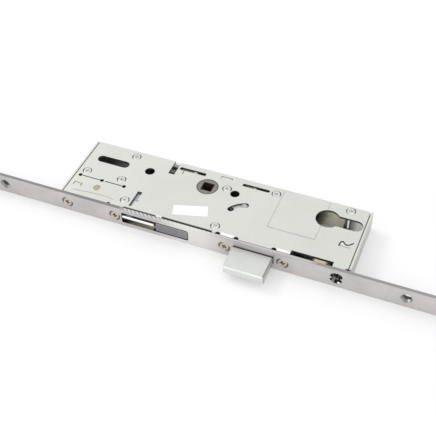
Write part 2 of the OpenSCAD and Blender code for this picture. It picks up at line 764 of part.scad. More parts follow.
module rack_tooth() {
    w = tooth_p / 4 - backlash / 4;
    low = 1.25 * tooth_m;
    polygon([[-w - low * tan(20), -pitch_r - low - eps], [w + low * tan(20), -pitch_r - low - eps],
        [w - tooth_m * tan(20), rack_y1], [-w + tooth_m * tan(20), rack_y1]]);
}
module drive_rivets() {
    color("silver") {
        for (x = rack_rivets) post([x, rack_y0 + 1.6], 1, slide_z0, rack_z1);
        for (x = [upper_join[0] + 3.8, lower_join[1] - 3.8]) post([x, rod_y0 + 1.4], 0.9, slide_z0,
            slide_z1 + 1.2);
    }
}

// Connectors: brass blocks with a T-shaped pocket for the rod's end
module pocket2d(g) {
    translate([-cut, -1.8 - g]) square([join_neck + cut + eps, 3.6 + 2 * g]);
    translate([join_neck - g, -3.2 - g]) square([join_head + 2 * g, 6.4 + 2 * g]);
}
module connector(length, z1) {
    difference() {
        block([0, rod_y0, slide_z1], [length, rod_y1 + 0.4, z1]);
        translate([0, rod_y1 + cut, 0]) rotate([90, 0, 0]) linear_extrude(rod_t + 2 * cut) pocket2d(0.08);
        post([3.8, rod_y0 + 1.4], 0.92, slide_z1 - cut, slide_z1 + 1.3);
    }
}
module upper_connector() {
    color("darkgoldenrod") translate([upper_join[0], 0,
        0]) connector(upper_join[1] - upper_join[0], rod_z);
}
module lower_connector() {
    color("darkgoldenrod") translate([lower_join[1], 0, 0]) mirror([1, 0, 0])
        connector(lower_join[1] - lower_join[0], outer - 0.6);
}

// Rods: T-shaped inner end, slots for the screws that pass, half lap at the outer end
module rod_tongue() {
    translate([0, rod_y1, 0]) rotate([90, 0, 0]) linear_extrude(rod_t) intersection() {
        pocket2d(0);
        translate([-eps, -rod_z]) square([join_neck + join_head + eps, rod_w]);
    }
}
module rod(side, x_in, x_out, slots, stud_x) {
    lap_x = x_out - side * rod_lap / 2;
    difference() {
        union() {
            block([min(x_in, x_out), rod_y0, -rod_z], [max(x_in, x_out), rod_y1, rod_z]);
            translate([x_in, 0, 0]) mirror([side > 0 ? 1 : 0, 0, 0]) rod_tongue();
        }
        for (s = slots) translate([0, rod_y1 + cut, 0]) rotate([90, 0, 0]) linear_extrude(rod_t + 2 * cut)
            slot2d(s[0], s[1], 0, s[2]);
        block([min(x_out - side * rod_lap, x_out + side), rod_y0 + rod_t / 2, -rod_z - cut],
            [max(x_out - side * rod_lap, x_out + side), rod_y1 + cut, rod_z + cut]);
        rod_along_y(lap_x, 0, lap_hole_r, rod_y0 - cut, rod_y1 + cut);
        rod_along_y(stud_x, 0, 2.52, rod_y0 - cut, rod_y1 + cut);
    }
}
module upper_rod() {
    color("gray") rod(-1, upper_join[0], rod_end_up,
        [[case_screws[0] - 0.1, case_screws[0] + travel + 0.1, 2 * face_shank_r + 0.4],
        [-fixing_up - 0.1, -fixing_up + travel + 0.1, fixing_d + 0.5]], -roller_up);
}
module lower_rod() {
    color("gray") rod(1, lower_join[1], rod_end_down,
        [[cyl_screw - 0.1, cyl_screw + travel + 0.1, 5.6],
        [fixing_down - 0.1, fixing_down + travel + 0.1, fixing_d + 0.5]], roller_down);
}

// Studs riveted in the rods, and the rollers that turn on them
module stud(x) {
    rod_along_y(x, 0, 2.5, rod_y0 - eps, rod_y1);
    rod_along_y(x, 0, 4.2, rod_y1, rod_y1 + 0.8);
    rod_along_y(x, 0, 3, front - 0.3 - roller_len - 0.4, rod_y0);
    rod_along_y(x, 0, 4.4, front - 0.3 - roller_len - 1.2, front - 0.3 - roller_len - 0.2);
}
module roller(x) {
    difference() {
        translate([x, front - 0.3, 0]) rotate([90, 0, 0]) rotate_extrude($fn = 72) polygon([
            [3 + fit, 0], [roller_d / 2 - 0.4, 0], [roller_d / 2, 0.4], [roller_d / 2, 1.2],
            [roller_d / 2 - 1.2, 1.8], [roller_d / 2 - 1.2, roller_len - 0.8],
            [roller_d / 2 - 2, roller_len], [3 + fit, roller_len]]);
    }
}
module upper_stud() { color("silver") stud(-roller_up); }
module lower_stud() { color("silver") stud(roller_down); }
module upper_roller() { color("whitesmoke") roller(-roller_up); }
module lower_roller() { color("whitesmoke") roller(roller_down); }

// Clips that hold the rods against the back of the faceplate
module rod_guides() {
    color("lightgray") for (x = [-roller_up + 18, roller_down - 27]) difference() {
        block([x - 4, behind, -rod_z - 1.3], [x + 4, rod_y1 + 1.3, rod_z + 1.3]);
        block([x - 4 - cut, behind - cut, -rod_z - 0.15], [x + 4 + cut, rod_y1 + 0.15, rod_z + 0.15]);
    }
}

// Deadbolt: two rounded profiles crossed, with a rebate for its tail
module deadbolt() {
    tip = front - bolt_throw;
    color("lightgray") difference() {
        intersection() {
            translate([0, 0, -bolt_z]) linear_extrude(2 * bolt_z) {
                round_rect(bolt_x0, bolt_x1, tip, bolt_rear, bolt_round);
                translate([bolt_x0, bolt_rear - 5]) square([bolt_w, 5]);
            }
            translate([bolt_x0 - cut, 0, 0]) rotate([90, 0, 90]) linear_extrude(bolt_w + 2 * cut) {
                round_rect(tip, bolt_rear, -bolt_z, bolt_z, bolt_round);
                translate([bolt_rear - 5, -bolt_z]) square([5, 2 * bolt_z]);
            }
        }
        block([bolt_x0 + 5, tail_front, tail_z0], [bolt_x1 + cut, bolt_rear + cut, bolt_z + cut]);
        for (x = tail_rivet_x) post([x, tail_front + 2.5], 1.62, tail_z0 - 2.6, bolt_z + cut);
    }
}
module tail_rivets() {
    color("silver") for (x = tail_rivet_x) post([x, tail_front + 2.5], 1.6, tail_z0 - 2.5, bolt_z);
}

// Tail plate: carries the lever's pin in a slot and the cylinder's cam in a notch
module deadbolt_tail() {
    notch_y = -bolt_throw / 2;
    color("lightslategray") translate([0, 0, tail_z0]) linear_extrude(tail_t) difference() {
        union() {
            translate([bolt_x0 + 5.2, tail_front]) square([drive_pin[0] + 6.2 - bolt_x0 - 5.2,
                bolt_rear - tail_front + 1]);
            round_rect(wing_x[0], wing_x[1], bolt_rear + 0.4, wing_rear, 1);
            translate([wing_x[0], bolt_rear - 1]) square([drive_pin[0] + 6.2 - wing_x[0], 3]);
        }
        slot2d(drive_pin[0] - pin_play, pivot[0] + arm_r + pin_play, drive_pin[1],
            2 * (pin_r + pin_play));
        translate([centres - cam_r - 0.6, notch_y - cam_slot / 2]) square([cam_r, cam_slot]);
        for (x = tail_rivet_x) translate([x, tail_front + 2.5]) circle(r = 1.62);
        slot2d(60, 68, (bolt_rear + wing_rear) / 2 + 3, 6);
    }
}

// Lever under the cover, its two pins and its pivot
module deadbolt_lever() {
    color("slategray") translate([0, 0, lever_z0]) linear_extrude(lever_z1 - lever_z0) difference() {
        union() {
            link2d(pivot, drive_pin, 4.6, 3.4);
            link2d(pivot, show_pin, 4.6, 3.4);
            translate(pivot) rotate(show_a) intersection() {
                difference() {
                    circle(r = show_r + 2.6, $fn = 96);
                    circle(r = show_r - 2.6, $fn = 96);
                }
                polygon([[0, 0], [2 * show_r, 0], 2 * show_r * [cos(lobe_a / 2), sin(lobe_a / 2)],
                    2 * show_r * [cos(lobe_a), sin(lobe_a)]]);
            }
        }
        translate(pivot) circle(r = pivot_r + fit);
        translate(drive_pin) circle(r = pin_r + 0.02);
        translate(show_pin) circle(r = pin_r + 0.02);
    }
}
module lever_pins() {
    color("white") {
        post(drive_pin, pin_r, tail_z0 + 0.1, lever_z1);
        post(show_pin, pin_r, lever_z0, outer - 0.4);
    }
}
module lever_pivot() {
    color("silver") post(pivot, pivot_r, lever_z0, inner);
}

faceplate();
case_body();
cover_plate();
cover_screws();
case_pillars();
faceplate_screws();
fixing_blocks();
cylinder_collar();
latch_guide();
spring_bracket();
latch_bolt();
latch_tail();
latch_spring();
trigger_bar();
trigger_slide();
trigger_spring();
follower_hub();
lift_spring();
return_spring();
thrust_slide();
drive_slide();
drive_rack();
drive_rivets();
upper_connector();
lower_connector();
upper_rod();
lower_rod();
upper_stud();
lower_stud();
upper_roller();
lower_roller();
rod_guides();
deadbolt();
deadbolt_tail();
tail_rivets();
deadbolt_lever();
lever_pins();
lever_pivot();
guide_rivet();
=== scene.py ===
import bpy
import bmesh
import json
import math
from mathutils import Matrix, Vector


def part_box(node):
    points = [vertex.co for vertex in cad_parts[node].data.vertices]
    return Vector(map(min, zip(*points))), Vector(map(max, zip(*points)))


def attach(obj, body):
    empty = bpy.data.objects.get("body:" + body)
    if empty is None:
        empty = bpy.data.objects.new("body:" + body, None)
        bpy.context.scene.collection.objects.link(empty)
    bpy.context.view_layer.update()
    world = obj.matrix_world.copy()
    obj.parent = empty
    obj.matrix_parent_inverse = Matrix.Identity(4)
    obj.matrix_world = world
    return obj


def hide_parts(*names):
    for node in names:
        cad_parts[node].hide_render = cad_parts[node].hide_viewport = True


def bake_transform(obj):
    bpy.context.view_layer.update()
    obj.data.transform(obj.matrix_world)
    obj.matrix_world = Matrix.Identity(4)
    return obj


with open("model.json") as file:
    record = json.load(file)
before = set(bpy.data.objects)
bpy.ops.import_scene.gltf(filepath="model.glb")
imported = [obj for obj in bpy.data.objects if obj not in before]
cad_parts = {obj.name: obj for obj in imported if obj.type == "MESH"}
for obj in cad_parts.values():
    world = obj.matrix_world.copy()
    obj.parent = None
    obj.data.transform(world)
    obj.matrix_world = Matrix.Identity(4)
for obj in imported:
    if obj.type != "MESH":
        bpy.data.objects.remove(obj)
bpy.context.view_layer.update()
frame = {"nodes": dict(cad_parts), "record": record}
nodes = frame["nodes"]
mm = 0.001
print("frame loaded,", len(nodes), "parts")


# Shader nodes

def newMaterial(name):
    mat = bpy.data.materials.new(name)
    mat.use_nodes = True
    tree = mat.node_tree
    return mat, tree, tree.nodes["Principled BSDF"]


def addNode(tree, kind, inputs=None, **props):
    # an input is linked where its value is another node's output, and set where it is a number or a colour
    node = tree.nodes.new(kind)
    for key, value in props.items():
        setattr(node, key, value)
    for key, value in (inputs or {}).items():
        if hasattr(value, "is_output"):
            tree.links.new(value, node.inputs[key])
        else:
            node.inputs[key].default_value = value
    return node


def mathOf(tree, operation, a, b=0.0):
    return addNode(tree, "ShaderNodeMath", {0: a, 1: b}, operation=operation).outputs[0]


def vectorOf(tree, operation, a, b=(0, 0, 0)):
    return addNode(tree, "ShaderNodeVectorMath", {0: a, 1: b}, operation=operation)


def ramp(tree, value, low, high, out0=0.0, out1=1.0):
    node = addNode(tree, "ShaderNodeMapRange", {"Value": value, "From Min": low, "From Max": high,
                                                "To Min": out0, "To Max": out1})
    return node.outputs["Result"]


def mixColour(tree, factor, a, b):
    node = addNode(tree, "ShaderNodeMix", data_type="RGBA", blend_type="MIX")
    for index, value in ((0, factor), (6, a), (7, b)):
        if hasattr(value, "is_output"):
            tree.links.new(value, node.inputs[index])
        else:
            node.inputs[index].default_value = value if index == 0 else (*value, 1)
    return node.outputs[2]


def objectPoints(tree, scale=(1, 1, 1), turn=(0, 0, 0)):
    where = addNode(tree, "ShaderNodeTexCoord").outputs["Object"]
    mapping = addNode(tree, "ShaderNodeMapping", {"Vector": where, "Scale": scale, "Rotation": turn})
    return mapping.outputs["Vector"]


def noiseOf(tree, points, scale, detail=3.0, rough=0.5):
    looks = {"Vector": points, "Scale": scale, "Detail": detail, "Roughness": rough}
    return addNode(tree, "ShaderNodeTexNoise", looks).outputs["Fac"]


def splitOf(tree, kind, axis):
    # one axis of the place on the piece ("Object") or of the way its surface looks ("Normal")
    where = addNode(tree, "ShaderNodeTexCoord").outputs[kind]
    return addNode(tree, "ShaderNodeSeparateXYZ", {"Vector": where}).outputs[axis]


# Masks: each is 1 where its mark lies and 0 elsewhere, with limits in mm

def allOf(tree, masks):
    total = masks[0]
    for mask in masks[1:]:
        total = mathOf(tree, "MULTIPLY", total, mask)
    return total


def opposite(tree, mask):
    return mathOf(tree, "SUBTRACT", 1.0, mask)


def between(tree, value, low, high, soft):
    rise = ramp(tree, value, (low - soft) * mm, (low + soft) * mm)
    fall = ramp(tree, value, (high + soft) * mm, (high - soft) * mm)
    return mathOf(tree, "MULTIPLY", rise, fall)


def facing(tree, axis, low, high):
    return ramp(tree, splitOf(tree, "Normal", axis), low, high)


def fromSpot(tree, spot, axes):
    # the way from a spot to each point, seen along the third axis
    place = dict(zip(axes, spot))
    flat = tuple(1 if axis in axes else 0 for axis in "XYZ")
    here = vectorOf(tree, "MULTIPLY", addNode(tree, "ShaderNodeTexCoord").outputs["Object"], flat).outputs[0]
    away = vectorOf(tree, "SUBTRACT", here, tuple(place.get(axis, 0) * mm for axis in "XYZ")).outputs[0]
    return away, vectorOf(tree, "LENGTH", away).outputs["Value"]


def towards(tree, away, look):
    return vectorOf(tree, "DOT_PRODUCT", vectorOf(tree, "NORMALIZE", away).outputs[0], look).outputs["Value"]


ringSides = (0.55, 0.85)
sectorSoft = {"angle": 0.02, "reach": 0.15}


def spotMask(tree, spots, inner, outer, soft, axes="XY", side=None):
    # rings or discs round the spots; side keeps the parts of a ring that look that way and its opposite
    total = None
    for spot in spots:
        away, length = fromSpot(tree, spot, axes)
        mask = between(tree, length, inner, outer, soft)
        if side:
            look = dict(zip(axes, side))
            size = mathOf(tree, "ABSOLUTE", towards(tree, away, tuple(look.get(axis, 0) for axis in "XYZ")))
            mask = mathOf(tree, "MULTIPLY", mask, ramp(tree, size, *ringSides))
        total = mask if total is None else mathOf(tree, "MAXIMUM", total, mask)
    return total


def sectorMask(tree, spot, angle, reach, spread=26):
    # the part of a disc in the XZ plane that lies within the spread of one direction
    away, length = fromSpot(tree, spot, "XZ")
    look = (math.cos(math.radians(angle)), 0, math.sin(math.radians(angle)))
    edge = math.cos(math.radians(spread))
    soft = sectorSoft["angle"]
    turned = ramp(tree, towards(tree, away, look), edge - soft, edge + soft)
    return mathOf(tree, "MULTIPLY", turned, between(tree, length, -1, reach, sectorSoft["reach"]))


def markMask(tree, mark):
    # what a mark states holds together: limits as (low, high, soft), sides, spots, a sector, a pattern
    masks = [between(tree, splitOf(tree, "Object", axis.upper()), *mark[axis])
             for axis in "xyz" if axis in mark]
    masks += [facing(tree, *side) for side in mark.get("sides", [])]
    if "off" in mark:
        masks.append(opposite(tree, markMask(tree, mark["off"])))
    if "spots" in mark:
        masks.append(spotMask(tree, *mark["spots"]))
    if "sector" in mark:
        masks.append(sectorMask(tree, *mark["sector"]))
    if "pattern" in mark:
        masks.append(mark["pattern"](tree))
    return allOf(tree, masks) if masks else 1.0


def layMarks(tree, tint, marks):
    # laid on one after the other, each by its amount
    for mark in marks:
        colour = mark["colour"](tree) if callable(mark["colour"]) else mark["colour"]
        mask = markMask(tree, mark)
        amount = mark.get("amount", 1.0)
        factor = mathOf(tree, "MULTIPLY", mask, amount) if hasattr(mask, "is_output") else amount
        tint = mixColour(tree, factor, tint, colour)
    return tint


# Patterns and colours that a mark can hold

def grains(scale, low, high, out0=0.0, out1=1.0):
    return lambda tree: ramp(tree, noiseOf(tree, objectPoints(tree), scale), low, high, out0, out1)


def scratches(turn, scale, low, high):
    def build(tree):
        thin = {"Vector": objectPoints(tree, (1, 1, 1), turn), "Scale": (0.07, 1, 1)}
        points = addNode(tree, "ShaderNodeMapping", thin).outputs["Vector"]
        return ramp(tree, noiseOf(tree, points, scale, 2.0, 0.6), low, high)
    return build


def stripes(turn, scale, distortion, low, high):
    def build(tree):
        looks = {"Vector": objectPoints(tree, (1, 1, 1), turn), "Scale": scale, "Distortion": distortion,
                 "Detail": 3.0, "Detail Scale": 2.0}
        return ramp(tree, addNode(tree, "ShaderNodeTexWave", looks).outputs["Fac"], low, high)
    return build


def twoColours(pattern, first, second):
    return lambda tree: mixColour(tree, pattern(tree), first, second)


def coloursAlong(axis, *stops):
    # a colour that changes along one axis, from stop to stop: (place in mm, colour)
    def build(tree):
        place = splitOf(tree, "Object", axis)
        colour = stops[0][1]
        for (start, before), (end, after) in zip(stops, stops[1:]):
            if after != before:
                colour = mixColour(tree, ramp(tree, place, start * mm, end * mm), colour, after)
        return colour
    return build


# Metal finishes

# The base: a colour with clouds of a second one, and a fine grain that darkens it, roughens it and stands
# out as a bump. Then edges worn bright, then the marks. Lights are marks that shine weakly. Lengths in mm.
metalDefaults = {
    "cloudScale": 40, "cloudDetail": (4.0, 0.55), "cloudRange": (0.35, 0.65),
    "grain": (1, 1, 1), "grainScale": 900, "grainDetail": (2.0, 0.6), "grainRange": (0.3, 0.75),
    "grainTint": 0.25, "dark": (0.2, 0.2, 0.2), "roughRange": (0.25, 0.75), "bump": 0.15, "bumpDepth": 0.04,
    "edge": 0.4, "edgeRadius": 0.22, "edgeRange": (1.0, 0.86), "bright": (0.9, 0.9, 0.9),
    "marks": [], "lights": [],
}


def metalFinish(name, own):
    s = {**metalDefaults, **own}
    mat, tree, shader = newMaterial(name)
    broad = noiseOf(tree, objectPoints(tree), s["cloudScale"], *s["cloudDetail"])
    fine = noiseOf(tree, objectPoints(tree, s["grain"]), s["grainScale"], *s["grainDetail"])
    tint = mixColour(tree, ramp(tree, broad, *s["cloudRange"]), s["colour"], s["cloud"])
    tint = mixColour(tree, ramp(tree, fine, *s["grainRange"], 0.0, s["grainTint"]), tint, s["dark"])

    # where the rounded normal leaves the flat one, the surface is an edge
    bevel = addNode(tree, "ShaderNodeBevel", {"Radius": s["edgeRadius"] * mm}, samples=4)
    rounded = bevel.outputs["Normal"]
    flat = addNode(tree, "ShaderNodeNewGeometry").outputs["Normal"]
    likeness = vectorOf(tree, "DOT_PRODUCT", rounded, flat).outputs["Value"]
    worn = ramp(tree, ramp(tree, likeness, *s["edgeRange"]), 0.0, 1.0, 0.0, s["edge"])
    tint = mixColour(tree, worn, tint, s["bright"])

    tint = layMarks(tree, tint, s["marks"])
    tree.links.new(tint, shader.inputs["Base Color"])
    if s["lights"]:
        tree.links.new(layMarks(tree, (0, 0, 0), s["lights"]), shader.inputs["Emission Color"])
        shader.inputs["Emission Strength"].default_value = 1.0
    shader.inputs["Metallic"].default_value = s["metallic"]
    tree.links.new(ramp(tree, fine, *s["roughRange"], *s["rough"]), shader.inputs["Roughness"])
    bump = addNode(tree, "ShaderNodeBump", {"Height": fine, "Strength": s["bump"],
                                            "Distance": s["bumpDepth"] * mm, "Normal": rounded})
    tree.links.new(bump.outputs["Normal"], shader.inputs["Normal"])
    return mat


def endsOf(name):
    low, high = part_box(name)
    return low.x / mm, high.x / mm


caseScrews = [(x, 0) for x in (-93.6, -54.6, 30.9, 73.7)]
fixings = [(-147.5, 0), (159.7, 0)]
coverScrews = [(-63.2, 11.5), (-91.4, -16.1), (-62.8, -15.7), (-50.8, -34.8), (14.3, 3.1), (20.4, -35.6),
               (49.8, 11.0), (105.1, 13.4)]
starHole = (111.8, 0)

onTop = [("Z", 0.6, 0.9)]
inWindows = [("Y", -0.5, -0.3), ("Y", 0.8, 0.6)]
stripScrewSides = (0.92, -0.39)
coverScrewSides = (0.915, 0.404)
coverScrewEnds = (-0.404, 0.915)

white = (1.0, 1.0, 1.0)
# near-black for painted shade in hollows, gaps and cut-outs
shadeBlack = (0.02, 0.02, 0.02)
# painted shade for the crescents round the screw heads
crescentShade = (0.07, 0.06, 0.05)

faceplateSteel = {
    "colour": (0.57, 0.545, 0.54), "cloud": (0.67, 0.65, 0.64), "dark": (0.45, 0.43, 0.44), "metallic": 0.8,
    "rough": (0.36, 0.52), "grain": (0.06, 1, 1), "grainScale": 1400, "grainTint": 0.3, "bump": 0.12,
    "edge": 0.3,
    "marks": [
        # diagonal grinding above the latch window, and a paler stretch beside it
        {"x": (-49, 24, 2.5), "z": (5.4, 12, 0.4), "amount": 0.8,
         "colour": twoColours(stripes((0, 1.138, -0.4), 250, 0.5, 0.2, 0.8),
                              (0.32, 0.32, 0.31), (0.76, 0.75, 0.73))},
        {"x": (-14, 24, 9), "amount": 0.75, "colour": (0.86, 0.85, 0.82)},
        # the sheared top edge: painted shade outside the case, deeper on the left; inside the case a line of
        # painted shade along its back, where the cover meets it, and a dark line along its front
        {"sides": onTop, "off": {"x": (-49, 96, 2.5)}, "amount": 0.6, "colour": (0.20, 0.19, 0.19)},
        {"sides": onTop, "x": (-49, 96, 0.5), "y": (-42.9, -42, 0.12),
         "amount": 0.75, "colour": (0.10, 0.10, 0.09)},
        {"sides": onTop, "x": (20, 96, 0.5), "y": (-46, -44.65, 0.1),
         "amount": 0.5, "colour": (0.2, 0.19, 0.19)},
        {"sides": onTop, "x": (-400, -49, 3), "amount": 0.35, "colour": (0.10, 0.10, 0.10)},
        # painted shade in crescents round the screws' countersinks
        {"spots": (caseScrews, 3.6, 4.5, 0.15, "XZ", stripScrewSides), "amount": 0.85, "colour": crescentShade},
        # arms of the star-shaped hole: painted shade on three of them, and a painted highlight on the one in
        # the light
        {"sector": (starHole, 60, 5.2), "amount": 0.95, "colour": shadeBlack},
        {"sector": (starHole, 120, 5.0), "amount": 0.95, "colour": shadeBlack},
        {"sector": (starHole, 240, 4.6), "amount": 0.8, "colour": (0.20, 0.20, 0.21)},
        {"sector": (starHole, 300, 4.6, 18), "amount": 0.95, "colour": white},
        # dished fixing holes: painted shade in each dish, with a painted glint
        {"spots": (fixings, -1, 3.9, 0.3, "XZ"), "amount": 0.45, "colour": (0.16, 0.15, 0.15)},
        {"spots": ([(x + 1.5, z - 2.3) for x, z in fixings], -1, 0.9, 0.4, "XZ"),
         "amount": 0.95, "colour": white},
        # painted shade on the walls of the windows; the olive sill below the trigger bar has painted shade,
        # black at its left end
        {"sides": inWindows, "x": (-211, 246, 0.3), "z": (-7.8, 7.8, 0.05), "amount": 0.93, "colour": shadeBlack},
        {"sides": inWindows, "x": (-400, -24.5, 0.2), "z": (-5.6, -4.3, 0.1), "amount": 0.95,
         "colour": coloursAlong("X", (-46, (0.03, 0.03, 0.02)), (-41, (0.46, 0.46, 0.37)))},
    ],
    # one tongue of the star-shaped hole catches the light
    "lights": [{"sides": inWindows[:1], "x": (108.8, 110.9, 0.2), "y": (-44.9, -42.4, 0.1),
                "z": (-3.7, -1.3, 0.2), "colour": (0.17, 0.17, 0.18)}],
}

caseZinc = {
    "colour": (0.74, 0.75, 0.71), "cloud": (0.80, 0.81, 0.77), "metallic": 0.7, "rough": (0.36, 0.48),
    "grainScale": 700, "grainTint": 0.12, "edge": 0.5,
}

# painted shade on the tray's inner walls: painted light behind the notch, and towards the cylinder's end
# deeper painted shade, then painted light, then dark again
shade = (0.24, 0.24, 0.22)
litBehindNotch = (0.6, 0.6, 0.57)
deeperShade = (0.09, 0.09, 0.075)
paintedLightEnd = (0.98, 0.98, 0.84)
innerShade = coloursAlong("X", (-32.5, shade), (-31.5, litBehindNotch), (-27.5, litBehindNotch), (-26.5, shade),
                          (70, shade), (76, deeperShade), (80, deeperShade), (88.5, paintedLightEnd), (101, paintedLightEnd),
                          (102, (0.10, 0.10, 0.09)))
rearWall = {"y": (15.5, 16.4, 0.05)}
springGap = {**rearWall, "z": (2.0, 5.4, 0.2)}
springCoils = {**springGap, "pattern": stripes((0, 0, 0), 185, 0.0, 0.3, 0.7)}
bodyZinc = {
    **caseZinc,
    "marks": [
        {"x": (-98.3, 118, 0.05), "y": (-50, 16.05, 0.02), "z": (-6.6, 7.9, 0.02), "amount": 0.95,
         "colour": innerShade},
        {"sides": [("X", 0.7, 0.9)], "x": (117, 130, 0.1),
         "amount": 0.6, "colour": (0.43, 0.43, 0.41)},  # painted shade on the end wall
        {"sides": [("Z", 0.7, 0.9)], "x": (117.9, 120.3, 0.3), "y": (-42.6, -41.1, 0.2), "amount": 0.9,
         "colour": shadeBlack},  # painted shade in the notch in its corner
    ],
    # light through the slots: on the floor below the long one, and on the rear wall behind the others
    "lights": [
        {"x": (-99, -60, 1), "z": (-6.6, -6.4, 0.03),
         "colour": coloursAlong("X", (-87, (0.006, 0.006, 0.005)), (-67, (0.08, 0.08, 0.07)))},
        {**springCoils, "x": (-27, -17.6, 0.3), "colour": (0.24, 0.24, 0.22)},
        {**springGap, "x": (-17.4, -14.8, 0.3), "colour": (0.5, 0.5, 0.48)},
        {**springCoils, "x": (24, 31, 0.3), "colour": (0.2, 0.2, 0.19)},
        {**springGap, "x": (30.6, 32.6, 0.3), "colour": (0.4, 0.4, 0.38)},
        {**rearWall, "x": (-39.5, -29, 0.2), "z": (3.6, 7, 0.6), "colour": (0.30, 0.30, 0.28)},
        {**rearWall, "x": (-39.5, -29, 0.2), "z": (-3.0, 0.2, 0.6), "colour": (0.13, 0.13, 0.12)},
    ],
}


def cutWallShade(tree):
    # where painted shade falls on the cover: the walls of its cut-outs, weaker in the screw dishes
    upright = ramp(tree, mathOf(tree, "ABSOLUTE", splitOf(tree, "Normal", "Z")), 0.6, 0.3)
    dishes = mathOf(tree, "MULTIPLY", spotMask(tree, coverScrews, -1, 4.2, 0.1), 0.8)
    return mathOf(tree, "MULTIPLY", upright, opposite(tree, dishes))


coverStart, coverEnd = endsOf("cover_plate")
highlightStretches = [(26.8, 36.6, 0.5), (68.2, 77.4, 0.5)]
coverZinc = {
    "colour": (0.705, 0.715, 0.67), "cloud": (0.735, 0.745, 0.70), "metallic": 0.5, "rough": (0.4, 0.52),
    "grainScale": 800, "grainTint": 0.06, "edge": 0.5,
    "marks": [
        # painted highlights on two stretches of the front edge, and painted shade in the seams at both ends
        *({"sides": onTop, "x": stretch, "y": (-44, -39.9, 0.25), "colour": (1.0, 1.0, 0.98)}
          for stretch in highlightStretches),
        {"off": {"x": (coverStart + 0.45, coverEnd - 0.3, 0.12)},
         "amount": 0.85, "colour": (0.04, 0.04, 0.035)},
        # the front edge: two stretches of painted shade with a pale tab between them, and painted shade in
        # the far corner
        {"sides": onTop, "x": (-18.2, 20.5, 0.2), "y": (-44, -40.75, 0.2), "amount": 0.8, "colour": shadeBlack},
        {"sides": onTop, "x": (-48.4, -23, 0.2), "y": (-44, -41.3, 0.15),
         "amount": 0.8, "colour": (0.03, 0.03, 0.03)},
        {"sides": onTop, "x": (-22.6, -18.4, 0.2), "y": (-44, -40.6, 0.3),
         "amount": 0.7, "colour": (0.92, 0.92, 0.90)},
        {"x": (coverEnd - 1.9, 200, 0.1), "y": (-44, -41.2, 0.1), "amount": 0.9, "colour": shadeBlack},
        # painted shadow and a painted glint beside the wave-shaped cut
        {"sides": onTop, "x": (106.3, 114.6, 0.6), "y": (-22.6, -21.4, 0.5), "amount": 0.45,
         "colour": (0.28, 0.28, 0.26)},
        {"sides": onTop, "x": (106.6, 108.6, 0.4), "y": (-20.6, -19, 0.4), "amount": 0.5,
         "colour": (0.95, 0.95, 0.92)},
        # painted shade on the walls of the cut-outs
        {"pattern": cutWallShade, "amount": 0.9, "colour": (0.03, 0.03, 0.025)},
    ],
    # the screw dishes catch light on their front and rear walls
    "lights": [{"sides": [("Z", 0.9, 0.5)], "spots": (coverScrews, 2.6, 4.2, 0.15, "XY", coverScrewEnds),
                "colour": (0.24, 0.24, 0.23)}],
}

brightScrews = {
    "colour": (0.88, 0.88, 0.86), "cloud": (0.80, 0.80, 0.78), "metallic": 0.8, "rough": (0.3, 0.42),
    "grainScale": 1600, "grainTint": 0.2, "edge": 0.3,
    "marks": [  # painted shade in a crescent on either side of each head, and a darker grainy patch in each recess
        {"spots": (coverScrews, 2.7, 3.7, 0.15, "XY", coverScrewSides),
         "amount": 0.95, "colour": (0.08, 0.08, 0.08)},
        {"spots": (coverScrews, -1, 1.5, 0.6), "pattern": grains(900, 0.4, 0.6), "amount": 0.5,
         "colour": (0.25, 0.25, 0.25)},
    ],
}

tannedScrews = {
    "colour": (0.62, 0.56, 0.50), "cloud": (0.72, 0.67, 0.61), "dark": (0.22, 0.15, 0.10), "metallic": 0.7,
    "rough": (0.3, 0.45), "grainScale": 1100, "grainTint": 0.4, "edge": 0.3,
    "marks": [  # painted shade in crescents round each head, and two dark brown spots in each recess
        {"spots": (caseScrews, 3.2, 4.5, 0.2, "XZ", stripScrewSides), "amount": 0.85, "colour": crescentShade},
        {"spots": ([(x - 0.5, z + 0.3) for x, z in caseScrews], -1, 1.0, 0.35, "XZ"), "amount": 0.9,
         "colour": (0.05, 0.025, 0.01)},
        {"spots": ([(x + 0.9, z - 0.5) for x, z in caseScrews], -1, 0.7, 0.35, "XZ"), "amount": 0.8,
         "colour": (0.09, 0.045, 0.02)},
    ],
}

rodSteel = {
    "colour": (0.42, 0.43, 0.44), "cloud": (0.36, 0.36, 0.38), "metallic": 0.9, "rough": (0.3, 0.5),
    "grain": (0.08, 1, 1), "grainScale": 1200, "edge": 0.35, "bright": (0.7, 0.7, 0.7),
    # painted shade on the rod where it shows through the fixing holes
    "marks": [{"spots": (fixings, -1, 6, 0.5, "XZ"), "amount": 0.9, "colour": (0.06, 0.06, 0.06)}],
    # two glints on the rod behind the star-shaped hole
    "lights": [{"y": (-42.6, -41.7, 0.15), "spots": ([spot], -1, reach, 0.35, "XZ"), "colour": colour}
               for spot, reach, colour in (((112.3, -3.1), 0.55, (0.11, 0.11, 0.08)),
                                           ((110.2, -2.6), 0.6, (0.15, 0.15, 0.16)))],
}

latchStart, latchEnd = endsOf("latch_bolt")
latchFront = {"y": (-46, -44.2, 0.2)}
latchFace = {"x": (latchStart + 0.5, latchEnd - 0.5, 0.1), "z": (-3.85, 3.85, 0.1)}
latchCore = {"x": (latchStart + 1.2, latchEnd - 1.2, 0.2), "z": (-3.1, 3.1, 0.2)}
latchGrey = {
    "colour": (0.265, 0.262, 0.28), "cloud": (0.31, 0.305, 0.315), "dark": (0.15, 0.15, 0.16),
    "metallic": 0.75, "rough": (0.42, 0.6), "grainScale": 1500, "grainTint": 0.3, "edge": 0.5,
    "edgeRadius": 0.4, "bright": (0.5, 0.5, 0.52),
    "marks": [  # a painted highlight round the face, and painted shade at its rim
        {**latchFace, **latchFront, "off": latchCore, "amount": 0.4, "colour": (0.50, 0.50, 0.52)},
        {**latchFront, "off": latchFace, "amount": 0.9, "colour": (0.04, 0.04, 0.045)},
    ],
}

